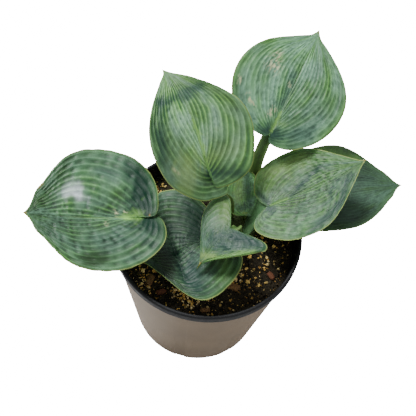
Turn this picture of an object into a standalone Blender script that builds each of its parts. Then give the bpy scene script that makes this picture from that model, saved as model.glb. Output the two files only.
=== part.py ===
"""Potted hosta: eight heart-shaped leaves on their stalks, in a one-gallon nursery pot of growing mix.

Units are millimetres in the tables below and metres in the model.  +Z is up, the pot's axis is the Z axis,
the pot stands on Z = 0, and -Y is the front.
"""
import math

import bmesh
import bpy
import numpy as np
from mathutils import Vector

MM = 0.001
GAP = 0.3                      # left between solids that rest on each other

# Nursery pot
RIM_RADIUS = 82.5
BASE_RADIUS = 62.5
POT_HEIGHT = 155.0
LIP_HEIGHT = 8.5
LIP_STAND = 2.2                # how far the lip stands out from the wall
WALL = 1.8
FLOOR = 2.0
POT_STEPS = 56
DRAIN_COUNT = 8
DRAIN_SIZE = (7.0, 9.0, 5.0)   # radial, across, high
DRAIN_TURN = -53.0             # degrees, first drain notch

# Growing mix
MIX_TOP = 137.0

# The plant's two crowns, where the stalks rise: centre x, y and radius
CROWNS = {"crown_front": (27.0, 17.5, 17.0), "crown_back": (33.5, 48.5, 7.5)}
CROWN_SPREAD = 2.0             # how much wider a crown is at its foot
CROWN_HEIGHT = 4.5
CROWN_TOP = MIX_TOP + GAP + CROWN_HEIGHT

# Leaves
BLADE_THICKNESS = 0.9
BLADE_STEPS = (14, 16)         # across, along
STALK_POINTS = 12

# Angles in degrees, lengths in millimetres; the other values are shares of the blade's length or half width.
# base: where the blade joins its stalk; heading, pitch, roll: how it is held; wide: where it is widest;
# lobe, lobe_out, skew, lean: the rounded ends behind the join; shoulder, waist, tip_out, tip_back: roundness
# of the outline; cup, fold, bend, nod: its hollow, its crease, its curve from end to end, its drooping tip.
LEAVES = {
    "left": dict(
        base=(-57, -15, 184), heading=195, pitch=4, roll=-3, length=89, width=112, wide=0.33,
        lobe=0.48, lobe_out=0.24, skew=-0.09, lean=0.0, shoulder=0.42, waist=0.43, tip_out=0.28,
        tip_back=0.11, cup=-0.10, fold=0.23, bend=0.35, nod=0.0, asym=0.11),
    "back": dict(
        base=(-6.5, 25.5, 205), heading=120, pitch=44, roll=13, length=95, width=96, wide=0.29,
        lobe=0.51, lobe_out=0.20, skew=-0.19, lean=0.56, shoulder=0.35, waist=0.32, tip_out=0.20,
        tip_back=0.18, cup=0.09, fold=0.09, bend=-0.49, nod=-0.56, asym=0.01),
    "back_right": dict(
        base=(41, 72.5, 206), heading=68, pitch=33, roll=16, length=99, width=100, wide=0.38,
        lobe=0.20, lobe_out=0.25, skew=0.27, lean=0.0, shoulder=0.32, waist=0.35, tip_out=0.25,
        tip_back=0.15, cup=-0.02, fold=0.11, bend=-0.27, nod=-0.19, asym=-0.03),
    "right": dict(
        base=(48, 21, 172), heading=21, pitch=21, roll=-5, length=89, width=87, wide=0.32,
        lobe=0.31, lobe_out=0.36, skew=0.38, lean=0.0, shoulder=0.35, waist=0.32, tip_out=0.24,
        tip_back=0.16, cup=0.04, fold=0.08, bend=0.39, nod=-0.13, asym=0.04),
    "far_right": dict(
        base=(67.5, 36, 164), heading=15, pitch=10, roll=4, length=99, width=83, wide=0.38,
        lobe=0.17, lobe_out=0.57, skew=0.0, lean=0.0, shoulder=0.32, waist=0.31, tip_out=0.26,
        tip_back=0.14, cup=0.16, fold=0.12, bend=-0.12, nod=-0.11, asym=-0.01),
    "inner_front": dict(
        base=(18, -14, 186), heading=232, pitch=-8, roll=11, length=40, width=68, wide=-0.16,
        lobe=0.41, lobe_out=0.68, skew=0.45, lean=0.0, shoulder=0.45, waist=0.28, tip_out=0.03,
        tip_back=0.17, cup=-0.06, fold=0.05, bend=-0.50, nod=-0.10, asym=-0.04),
    "low_front": dict(
        base=(-1, -14, 160), heading=207, pitch=1, roll=5, length=60, width=114, wide=0.30,
        lobe=0.70, lobe_out=0.35, skew=-0.25, lean=-0.03, shoulder=0.37, waist=0.29, tip_out=0.15,
        tip_back=0.22, cup=-0.05, fold=0.12, bend=0.0, nod=0.0, asym=0.02),
    "inner_back": dict(
        base=(31, 24.5, 151.5), heading=98, pitch=34, roll=-8, length=33, width=22, wide=0.42,
        lobe=0.06, lobe_out=0.66, skew=0.0, lean=0.0, shoulder=0.36, waist=0.30, tip_out=0.22,
        tip_back=0.15, cup=0.10, fold=0.05, bend=-0.20, nod=0.0, asym=0.0),
}

# Stalks: foot on the crown (x, y), the points it passes, how far behind, right of and below its blade's
# join it comes up to it, and its radius at the foot and at the blade.
STALKS = {
    "left": dict(
        foot=(15, 23), via=[(0, 18, 146), (-26, 10, 147), (-49, 3, 148.5), (-60, -5, 160)],
        approach=(1, 0, 12), radii=(2.6, 2.0)),
    "back": dict(
        foot=(19, 21), via=[(18.5, 21.5, 156), (15, 25, 168)], approach=(20, 9, 8), radii=(3.0, 2.2)),
    "back_right": dict(
        foot=(33.5, 49), via=[(33.5, 53, 158), (34.5, 60, 182)], approach=(8, 0, 3), radii=(3.4, 2.8)),
    "right": dict(foot=(31, 16.5), via=[(38, 18, 152)], approach=(7, 0, 2), radii=(3.6, 3.0)),
    "far_right": dict(foot=(40, 26), via=[(50, 31, 151)], approach=(9, 0, 3), radii=(2.8, 2.0)),
    "inner_front": dict(foot=(27, 9), via=[(25, 1, 162)], approach=(7, 0, 5), radii=(3.2, 2.4)),
    "low_front": dict(foot=(17, 10), via=[(10, -2, 150)], approach=(7, 0, 3), radii=(2.8, 2.0)),
    "inner_back": dict(foot=(31, 22), via=[(31, 24, 144.5)], approach=(1, 0, 1), radii=(1.6, 1.4)),
}

# Bits of the mix that lie on top: centre x, y, then length, width, height and turn in degrees.
CHIPS = [
    (-41.5, -47.5, 11, 5.5, 2.6, 75),
    (29, -42, 13, 6.0, 3.0, -8),
    (-31, -56, 8, 4.5, 2.4, 25),
    (-22, 66, 9, 5.0, 2.6, 40),
    (60, -27, 8, 4.5, 2.4, -50),
    (8, -67, 8, 4.0, 2.2, 10),
]
# Grains that lie on top: centre x, y and size.
GRAINS = [
    (-49, -40, 4.2), (-40, -38.5, 3.4), (-48, -52, 3.8), (-20, -53, 3.4), (-4, -57.5, 4.4),
    (1, -60.5, 3.6), (30, -34.5, 4.0), (41, -35.5, 4.2), (38, -23.5, 3.8), (40, -12.5, 3.6),
    (60, 1.5, 4.0), (55, -10, 3.4), (56, -17, 3.6), (-55, 48, 4.0), (49, 9, 3.2),
]


def material(name, colour, roughness):
    """A plain Principled material."""
    made = bpy.data.materials.new(name)
    made.use_nodes = True
    shader = made.node_tree.nodes["Principled BSDF"]
    shader.inputs["Base Color"].default_value = (*colour, 1.0)
    shader.inputs["Roughness"].default_value = roughness
    return made


def add_object(name, data, finish, collection):
    """Put a mesh or a curve in the collection as one named object."""
    item = bpy.data.objects.new(name, data)
    data.materials.append(finish)
    collection.objects.link(item)
    return item


def turned(name, profile, finish, collection):
    """Turn a profile of (radius, height) in millimetres round the Z axis, outer side running downwards."""
    mesh = bpy.data.meshes.new(name)
    points = [(radius * MM, 0.0, height * MM) for radius, height in profile]
    mesh.from_pydata(points, [(i, i + 1) for i in range(len(points) - 1)], [])
    item = add_object(name, mesh, finish, collection)
    screw = item.modifiers.new("turn", "SCREW")
    screw.steps = POT_STEPS
    screw.render_steps = POT_STEPS
    screw.use_merge_vertices = True
    screw.merge_threshold = 0.00001
    screw.use_smooth_shade = True
    return item


def wall_radius(height):
    """Outer radius of the tapering wall at a height."""
    top = POT_HEIGHT - LIP_HEIGHT
    return BASE_RADIUS + (RIM_RADIUS - LIP_STAND - BASE_RADIUS) * height / top


def make_pot(finish, parts, cutters):
    """The nursery pot: a tapering wall with a rolled lip, a flat floor and drain notches round its edge."""
    lip = POT_HEIGHT - LIP_HEIGHT
    inside = RIM_RADIUS - LIP_STAND - WALL
    profile = [
        (0.0, FLOOR), (wall_radius(FLOOR) - WALL, FLOOR), (inside, lip),
        (inside + 0.6, POT_HEIGHT - 1.0), (inside + 1.4, POT_HEIGHT), (RIM_RADIUS - 1.0, POT_HEIGHT),
        (RIM_RADIUS, POT_HEIGHT - 1.0), (RIM_RADIUS, lip + 1.0), (RIM_RADIUS - 0.8, lip),
        (wall_radius(lip), lip - 0.8), (wall_radius(1.0), 1.0), (wall_radius(0.0) - 1.0, 0.0), (0.0, 0.0),
    ]
    pot = turned("pot", profile, finish, parts)
    for index in range(DRAIN_COUNT):
        turn = math.radians(DRAIN_TURN + index * 360.0 / DRAIN_COUNT)
        bpy.ops.mesh.primitive_cube_add(size=1.0, rotation=(0.0, 0.0, turn))
        cutter = bpy.context.active_object
        cutter.name = f"drain_cutter_{index + 1}"
        cutter.scale = [side * MM for side in DRAIN_SIZE]
        reach = BASE_RADIUS * MM
        cutter.location = (reach * math.cos(turn), reach * math.sin(turn), DRAIN_SIZE[2] * MM * 0.5 - 0.001)
        cutter.hide_render = True
        cutter.display_type = "WIRE"
        for holder in list(cutter.users_collection):
            holder.objects.unlink(cutter)
        cutters.objects.link(cutter)
        cut = pot.modifiers.new(f"drain_{index + 1}", "BOOLEAN")
        cut.operation = "DIFFERENCE"
        cut.object = cutter
    return pot


def make_mix(finish, parts):
    """The root ball and its growing mix, which fill the pot to below the rim."""
    inner = WALL + GAP
    profile = [
        (0.0, MIX_TOP), (wall_radius(MIX_TOP) - inner - 2.0, MIX_TOP),
        (wall_radius(MIX_TOP) - inner, MIX_TOP - 2.0),
        (wall_radius(FLOOR + GAP) - inner, FLOOR + GAP), (0.0, FLOOR + GAP),
    ]
    return turned("growing_mix", profile, finish, parts)


def make_crown(name, x, y, radius, finish, parts):
    """A low crown of old stalk bases that the leaves rise from."""
    mesh = bpy.data.meshes.new(name)
    shape = bmesh.new()
    bmesh.ops.create_cone(
        shape, cap_ends=True, segments=20, radius1=(radius + CROWN_SPREAD) * MM, radius2=radius * MM,
        depth=CROWN_HEIGHT * MM)
    shape.to_mesh(mesh)
    shape.free()
    crown = add_object(name, mesh, finish, parts)
    crown.location = (x * MM, y * MM, (CROWN_TOP - CROWN_HEIGHT / 2) * MM)
    return crown


def bezier(points, t):
    """Cubic Bezier curve through the first and the last of four control points."""
    a, b, c, d = (np.array(point, float) for point in points)
    t = t[..., None]
    return (1 - t) ** 3 * a + 3 * (1 - t) ** 2 * t * b + 3 * (1 - t) * t ** 2 * c + t ** 3 * d


def leaf_outline(t, leaf):
    """Half outline of a blade, from the join round the lobe to the tip: width share and length share."""
    wide, lobe = leaf["wide"], leaf["lobe"]
    lower = [(0, 0), (leaf["lobe_out"], -lobe), (1, wide - leaf["shoulder"]), (1, wide)]
    upper = [(1, wide), (1, wide + leaf["waist"]), (leaf["tip_out"], 1 - leaf["tip_back"]), (0, 1)]
    first = bezier(lower, np.clip(2 * t, 0, 1))
    second = bezier(upper, np.clip(2 * t - 1, 0, 1))
    both = np.where((t < 0.5)[..., None], first, second)
    return both[..., 0], both[..., 1]


def leaf_axes(leaf):
    """Unit vectors of a blade at its join: to its right, along its midrib and out of its upper face."""
    heading, pitch, roll = (math.radians(leaf[key]) for key in ("heading", "pitch", "roll"))
    along = np.array([
        math.cos(heading) * math.cos(pitch), math.sin(heading) * math.cos(pitch), math.sin(pitch)])
    right = np.array([math.sin(heading), -math.cos(heading), 0.0])
    face = np.cross(right, along)
    return (
        math.cos(roll) * right - math.sin(roll) * face, along,
        math.sin(roll) * right + math.cos(roll) * face)


def blade_surface(s, t, leaf):
    """Points of a blade's middle surface in millimetres.

    s runs from -1 to 1 across, 0 on the midrib and 1 on the right margin; t runs along each vein, 0 at the
    join and 1 at the tip.  A vein is a blend between the midrib and the outline.  The flat blade is then
    hollowed and creased across its width, and bent along its length.
    """
    length, half = leaf["length"], leaf["width"] / 2
    out, up = leaf_outline(t, leaf)
    side, share = np.sign(s), np.abs(s)
    up = np.where(up < 0, up * (1 + leaf["skew"] * side), up)
    blend = share ** 1.4
    across = side * share ** (1 + 1.2 * (1 - t) ** 3) * out * half * (1 + leaf["asym"] * side)
    v = (1 - blend) * t + blend * up
    across = across + length * leaf["lean"] * (np.sqrt(v * v + 0.003) - v) / 2
    u = across / half
    rise = half * (leaf["cup"] * u * u + leaf["fold"] * (np.sqrt(u * u + 0.01) - 0.1))
    table = np.linspace(-0.7, 1.2, 400)
    angle = leaf["bend"] * table + leaf["nod"] * np.clip((table - 0.4) / 0.6, 0, None) ** 1.5
    step = table[1] - table[0]
    ahead = np.cumsum(np.cos(angle)) * step
    above = np.cumsum(np.sin(angle)) * step
    ahead = ahead - np.interp(0, table, ahead)
    above = above - np.interp(0, table, above)
    turn = np.interp(v, table, angle)
    y = np.interp(v, table, ahead) * length - rise * np.sin(turn)
    z = np.interp(v, table, above) * length + rise * np.cos(turn)
    right, along, face = leaf_axes(leaf)
    return (
        np.array(leaf["base"], float) + across[..., None] * right + y[..., None] * along
        + z[..., None] * face)


def make_blade(name, leaf, finish, parts):
    """A leaf blade: a flat grid moved onto the blade's surface, with its ends drawn to points."""
    mesh = bpy.data.meshes.new(name)
    shape = bmesh.new()
    bmesh.ops.create_grid(shape, x_segments=BLADE_STEPS[0], y_segments=BLADE_STEPS[1], size=1.0)
    places = np.array([vert.co for vert in shape.verts])
    moved = blade_surface(places[:, 0], (places[:, 1] + 1) / 2, leaf) * MM
    for vert, place in zip(shape.verts, moved):
        vert.co = Vector(place)
    bmesh.ops.remove_doubles(shape, verts=shape.verts[:], dist=0.000002)
    shape.to_mesh(mesh)
    shape.free()
    mesh.shade_smooth()
    blade = add_object(name, mesh, finish, parts)
    body = blade.modifiers.new("thickness", "SOLIDIFY")
    body.thickness = BLADE_THICKNESS * MM
    body.offset = 0.0
    return blade


def smooth_path(points, count):
    """Evenly numbered points on a Catmull-Rom curve through the given points."""
    knots = np.array([points[0], *points, points[-1]], float)
    spans = len(points) - 1
    path = []
    for place in np.linspace(0, spans, count):
        span = min(int(place), spans - 1)
        t = place - span
        a, b, c, d = knots[span:span + 4]
        path.append(0.5 * (
            2 * b + (c - a) * t + (2 * a - 5 * b + 4 * c - d) * t ** 2 + (3 * b - a - 3 * c + d) * t ** 3))
    return path


def make_stalk(name, stalk, leaf, finish, parts):
    """A leaf stalk: a tapering tube from the crown to just under its blade's join."""
    foot_radius, top_radius = stalk["radii"]
    right, along, face = leaf_axes(leaf)
    drop = BLADE_THICKNESS / 2 + top_radius + GAP * 2
    join = np.array(leaf["base"], float) - drop * face
    behind, aside, below = stalk["approach"]
    foot = np.array((*stalk["foot"], CROWN_TOP))
    rise = stalk["via"][0] - foot
    lean = math.hypot(rise[0], rise[1]) / np.linalg.norm(rise)
    foot[2] += foot_radius * lean + GAP * 2
    before = join - behind * along + aside * right - below * face
    path = smooth_path([foot, *stalk["via"], before, join], STALK_POINTS)
    curve = bpy.data.curves.new(name, "CURVE")
    curve.dimensions = "3D"
    curve.bevel_depth = MM
    curve.bevel_resolution = 2
    curve.use_fill_caps = True
    spline = curve.splines.new("POLY")
    spline.points.add(len(path) - 1)
    for index, (point, place) in enumerate(zip(spline.points, path)):
        share = index / (len(path) - 1)
        point.co = (*(place * MM), 1.0)
        point.radius = foot_radius + (top_radius - foot_radius) * share
    return add_object(name, curve, finish, parts)


def make_sheath(name, centre, turn, finish, parts):
    """A dry sheath left at the crown: a short curled strip."""
    mesh = bpy.data.meshes.new(name)
    shape = bmesh.new()
    bmesh.ops.create_grid(shape, x_segments=6, y_segments=5, size=1.0)
    for vert in shape.verts:
        bow = vert.co.x * 1.1
        reach = vert.co.y * 6.0
        vert.co = Vector((3.2 * math.sin(bow), reach, 3.2 * math.cos(bow) + 0.02 * reach ** 2)) * MM
    shape.to_mesh(mesh)
    shape.free()
    sheath = add_object(name, mesh, finish, parts)
    sheath.location = [value * MM for value in centre]
    sheath.rotation_euler = (0.0, 0.0, math.radians(turn))
    body = sheath.modifiers.new("thickness", "SOLIDIFY")
    body.thickness = 0.6 * MM
    body.offset = 0.0
    return sheath


def make_chip(name, chip, finish, parts):
    """A chip of bark: a flat block with broken edges, lying on the mix."""
    x, y, length, width, height, turn = chip
    mesh = bpy.data.meshes.new(name)
    shape = bmesh.new()
    bmesh.ops.create_cube(shape, size=1.0)
    for vert in shape.verts:
        narrow = 0.75 if vert.co.x > 0 else 1.0
        vert.co = Vector((vert.co.x * length, vert.co.y * width * narrow, vert.co.z * height)) * MM
    shape.to_mesh(mesh)
    shape.free()
    item = add_object(name, mesh, finish, parts)
    item.location = (x * MM, y * MM, (MIX_TOP + GAP + height / 2) * MM)
    item.rotation_euler = (0.0, 0.0, math.radians(turn))
    edge = item.modifiers.new("edges", "BEVEL")
    edge.width = 0.6 * MM
    edge.segments = 1
    return item


def make_grain(name, grain, finish, parts):
    """A grain of perlite or pumice lying on the mix."""
    x, y, size = grain
    mesh = bpy.data.meshes.new(name)
    shape = bmesh.new()
    bmesh.ops.create_icosphere(shape, subdivisions=1, radius=size * MM / 2)
    shape.to_mesh(mesh)
    shape.free()
    item = add_object(name, mesh, finish, parts)
    item.location = (x * MM, y * MM, (MIX_TOP + GAP + size * 0.4) * MM)
    item.scale = (1.0, 0.85, 0.8)
    item.rotation_euler = (0.0, 0.0, x + y)
    return item


def main():
    """Clear the scene and build the plant in its pot."""
    for item in list(bpy.data.objects):
        bpy.data.objects.remove(item, do_unlink=True)
    parts = bpy.data.collections.new("potted_hosta")
    cutters = bpy.data.collections.new("cutters")
    for collection in (parts, cutters):
        bpy.context.scene.collection.children.link(collection)
    make_pot(material("pot_plastic", (0.03, 0.028, 0.027), 0.55), parts, cutters)
    make_mix(material("mix", (0.02, 0.014, 0.01), 0.95), parts)
    crown_tissue = material("crown_tissue", (0.16, 0.22, 0.09), 0.7)
    for name, (x, y, radius) in CROWNS.items():
        make_crown(name, x, y, radius, crown_tissue, parts)
    blade_green = material("blade_green", (0.13, 0.24, 0.16), 0.5)
    stalk_green = material("stalk_green", (0.12, 0.24, 0.08), 0.5)
    for name, leaf in LEAVES.items():
        make_blade(f"blade_{name}", leaf, blade_green, parts)
        make_stalk(f"stalk_{name}", STALKS[name], leaf, stalk_green, parts)
    dry = material("dry_sheath", (0.35, 0.24, 0.12), 0.85)
    make_sheath("sheath_front", (38.5, 7.5, CROWN_TOP + GAP - 1.0), -60, dry, parts)
    bark = material("bark", (0.22, 0.11, 0.06), 0.9)
    for index, chip in enumerate(CHIPS):
        make_chip(f"bark_chip_{index + 1}", chip, bark, parts)
    stone = material("perlite", (0.72, 0.62, 0.45), 0.9)
    for index, grain in enumerate(GRAINS):
        make_grain(f"grain_{index + 1:02d}", grain, stone, parts)


main()
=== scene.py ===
"""Looks of the potted hosta: ribbed waxy leaves, channelled stalks, a crumbly mix and a dusty pot.

Shapes are worked out in millimetres, and MM turns them into the frame's metres.
"""
import math

import bmesh
import bpy
import numpy as np
from mathutils import Matrix, Vector


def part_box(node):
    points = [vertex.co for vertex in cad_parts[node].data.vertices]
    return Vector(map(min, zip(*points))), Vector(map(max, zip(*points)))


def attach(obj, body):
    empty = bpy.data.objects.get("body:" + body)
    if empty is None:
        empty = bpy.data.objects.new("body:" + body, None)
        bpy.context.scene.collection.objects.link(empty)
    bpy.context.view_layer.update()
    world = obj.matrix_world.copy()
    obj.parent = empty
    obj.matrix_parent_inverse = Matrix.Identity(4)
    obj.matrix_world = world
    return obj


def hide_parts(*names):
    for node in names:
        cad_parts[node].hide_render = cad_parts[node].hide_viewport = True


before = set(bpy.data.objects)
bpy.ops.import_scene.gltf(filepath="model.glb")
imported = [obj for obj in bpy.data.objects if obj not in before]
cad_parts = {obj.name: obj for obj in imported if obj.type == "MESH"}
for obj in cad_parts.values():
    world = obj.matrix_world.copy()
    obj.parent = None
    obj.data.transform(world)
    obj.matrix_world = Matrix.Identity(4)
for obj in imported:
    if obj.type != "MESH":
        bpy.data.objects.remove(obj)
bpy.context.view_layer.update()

MM = 0.001
BODY = "root"

# Places read from the frame, in millimetres
POT_HIGH = np.array(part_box("pot")[1]) / MM
RIM_RADIUS = POT_HIGH[0]
POT_HEIGHT = POT_HIGH[2]
MIX_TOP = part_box("growing_mix")[1][2] / MM

# Pot, as the frame's own is made, in millimetres
BASE_RADIUS = 62.5
LIP_HEIGHT = 8.5
LIP_STAND = 2.2                # how far the lip stands out from the wall
WALL = 1.8
FLOOR = 2.0
DRAIN_COUNT = 8
DRAIN_SIZE = (7.0, 9.0, 5.0)   # radial, across, high
DRAIN_TURN = -53.0             # degrees, first drain notch
MIX_GAP = 0.3                  # between the mix and the pot
CROWN_MIDDLE = (27.0, 20.0)    # where most of the stalks meet

# Blades, placed as the frame's own are: angles in degrees, lengths in millimetres, and the rest as shares of
# the blade's length or of half its width.  Two differ from the frame's: the inner back blade is larger, where
# the frame's keeps clear of the stalks beside it, and the inner front one isn't creased along its midrib.
LEAVES = {
    "left": dict(
        base=(-57, -15, 184), heading=195, pitch=4, roll=-3, length=89, width=112, wide=0.33,
        lobe=0.48, lobe_out=0.24, skew=-0.09, lean=0.0, shoulder=0.42, waist=0.43, tip_out=0.28,
        tip_back=0.11, cup=-0.10, fold=0.23, bend=0.35, nod=0.0, asym=0.11),
    "back": dict(
        base=(-6.5, 25.5, 205), heading=120, pitch=44, roll=13, length=95, width=96, wide=0.29,
        lobe=0.51, lobe_out=0.20, skew=-0.19, lean=0.56, shoulder=0.35, waist=0.32, tip_out=0.20,
        tip_back=0.18, cup=0.09, fold=0.09, bend=-0.49, nod=-0.56, asym=0.01),
    "back_right": dict(
        base=(41, 72.5, 206), heading=68, pitch=33, roll=16, length=99, width=100, wide=0.38,
        lobe=0.20, lobe_out=0.25, skew=0.27, lean=0.0, shoulder=0.32, waist=0.35, tip_out=0.25,
        tip_back=0.15, cup=-0.02, fold=0.11, bend=-0.27, nod=-0.19, asym=-0.03),
    "right": dict(
        base=(48, 21, 172), heading=21, pitch=21, roll=-5, length=89, width=87, wide=0.32,
        lobe=0.31, lobe_out=0.36, skew=0.38, lean=0.0, shoulder=0.35, waist=0.32, tip_out=0.24,
        tip_back=0.16, cup=0.04, fold=0.08, bend=0.39, nod=-0.13, asym=0.04),
    "far_right": dict(
        base=(67.5, 36, 164), heading=15, pitch=10, roll=4, length=99, width=83, wide=0.38,
        lobe=0.17, lobe_out=0.57, skew=0.0, lean=0.0, shoulder=0.32, waist=0.31, tip_out=0.26,
        tip_back=0.14, cup=0.16, fold=0.12, bend=-0.12, nod=-0.11, asym=-0.01),
    "inner_front": dict(
        base=(18, -14, 186), heading=232, pitch=-8, roll=11, length=40, width=68, wide=-0.16,
        lobe=0.41, lobe_out=0.68, skew=0.45, lean=0.0, shoulder=0.45, waist=0.28, tip_out=0.03,
        tip_back=0.17, cup=-0.06, fold=0.0, bend=-0.50, nod=-0.10, asym=-0.04),
    "low_front": dict(
        base=(-1, -14, 160), heading=207, pitch=1, roll=5, length=60, width=114, wide=0.30,
        lobe=0.70, lobe_out=0.35, skew=-0.25, lean=-0.03, shoulder=0.37, waist=0.29, tip_out=0.15,
        tip_back=0.22, cup=-0.05, fold=0.12, bend=0.0, nod=0.0, asym=0.02),
    "inner_back": dict(
        base=(31, 21.5, 150.5), heading=98, pitch=34, roll=-8, length=44, width=34, wide=0.42,
        lobe=0.06, lobe_out=0.66, skew=0.0, lean=0.0, shoulder=0.36, waist=0.30, tip_out=0.22,
        tip_back=0.15, cup=0.10, fold=0.05, bend=-0.20, nod=0.0, asym=0.0),
}

# Stalks: foot on the crown (x, y), the points it passes, how far behind, right of and below its blade's join
# it comes up to it, its radius at the foot and at the blade, and by what its width is multiplied below the
# blade.  Some also say how far up the blade they run as a keel, how much they broaden at the foot and how
# pale they are.
STALKS = {
    "left": dict(
        foot=(15, 23), via=[(0, 18, 146), (-26, 10, 147), (-49, 3, 148.5), (-60, -5, 160)],
        approach=(1, 0, 12), radii=(2.6, 2.0), broad=1.0),
    "back": dict(
        foot=(19, 21), via=[(18.5, 21.5, 156), (15, 25, 168)], approach=(20, 9, 8), radii=(3.0, 2.2),
        broad=0.9),
    "back_right": dict(
        foot=(33.5, 49), via=[(33.5, 53, 158), (34.5, 60, 182)], approach=(8, 0, 3), radii=(3.4, 2.8),
        broad=1.5),
    "right": dict(
        foot=(31, 16.5), via=[(38, 18, 152)], approach=(7, 0, 2), radii=(3.6, 3.0), broad=3.0, sheath=0.9,
        pale=1.0),
    "far_right": dict(foot=(40, 26), via=[(50, 31, 151)], approach=(9, 0, 3), radii=(2.8, 2.0), broad=1.0),
    "inner_front": dict(foot=(27, 9), via=[(25, 1, 162)], approach=(7, 0, 5), radii=(3.2, 2.4), broad=1.2),
    "low_front": dict(
        foot=(17, 10), via=[(10, -2, 150)], approach=(7, 0, 3), radii=(2.8, 2.0), broad=1.0, keel=0.25),
    "inner_back": dict(foot=(31, 22), via=[(31, 24, 144.5)], approach=(1, 0, 1), radii=(1.6, 1.4), broad=1.0),
}

# How each blade is finished: veins on each side of the midrib, strength of the ribbing and puckering, waves
# along the margin, how much its tip is blunted and how many millimetres it is drawn out, how far its lobes
# close and lap over the join, how strong its midrib and its mottling are, how fast its ribs fade outwards,
# how much of its bloom is rubbed green, how bright and how contrasting it is, and the seed of its noise.
# The brightness is partly painted shade, darkening the blades that lie in shade, such as the low front one;
# the contrast sets the painted highlight on the ribs and the painted shade between them.
# Some also have a trim, which draws in the right lobe, a warmth, which reddens them, and creases: from s, t
# to s, t, width and height in millimetres.
DRESS = {
    "left": dict(
        veins=11, rib=1.0, pucker=1.2, wave=1.0, blunt=0.36, point=2.5, close=0.16, lap=1.2,
        midrib=0.6, mottle=0.45, fade=0.35, green=0.45, bright=0.76, contrast=0.80, seed=11),
    "back": dict(
        veins=12, rib=1.1, pucker=0.6, wave=0.5, blunt=0.10, point=3.0, close=0.24, lap=1.6, trim=0.16,
        midrib=1.0, mottle=0.45, fade=0.5, green=0.62, bright=1.36, contrast=0.85, warm=0.16, seed=12),
    "back_right": dict(
        veins=14, rib=0.9, pucker=0.7, wave=0.6, blunt=0.05, point=4.5, close=0.10, lap=0.8,
        midrib=0.8, mottle=0.6, fade=1.0, green=0.36, bright=1.30, contrast=0.75, warm=0.04, seed=13),
    "right": dict(
        veins=13, rib=0.7, pucker=1.2, wave=0.8, blunt=0.05, point=1.5, close=0.0, lap=0.0,
        midrib=0.45, mottle=0.8, fade=0.9, green=0.75, bright=0.84, contrast=0.9, warm=0.04, seed=14),
    "far_right": dict(
        veins=13, rib=0.5, pucker=0.5, wave=0.6, blunt=0.20, point=2.5, close=0.0, lap=0.0,
        midrib=0.15, mottle=0.4, fade=0.6, green=0.15, bright=0.40, contrast=0.45, seed=15),
    "inner_front": dict(
        veins=9, rib=0.5, pucker=0.3, wave=0.4, blunt=0.0, point=4.0, close=0.0, lap=0.0,
        midrib=0.0, mottle=0.3, fade=0.3, green=0.45, bright=0.62, contrast=0.25, seed=16,
        creases=[(-0.80, 0.92, -0.95, 0.45, 3.0, 1.6)]),
    "low_front": dict(
        veins=12, rib=0.9, pucker=0.6, wave=0.9, blunt=0.0, point=0.0, close=0.0, lap=0.0,
        midrib=0.1, mottle=0.3, fade=0.2, green=0.35, bright=0.50, contrast=0.7, seed=17,
        creases=[(0.50, 0.50, -0.06, 0.43, 7.0, -4.5), (-0.06, 0.43, -0.62, 0.56, 7.0, -4.5)]),
    "inner_back": dict(
        veins=7, rib=0.25, pucker=0.3, wave=0.3, blunt=0.0, point=0.0, close=0.0, lap=0.0,
        midrib=0.1, mottle=0.3, fade=0.2, green=0.5, bright=2.1, contrast=0.35, warm=0.1, seed=18),
}
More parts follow.
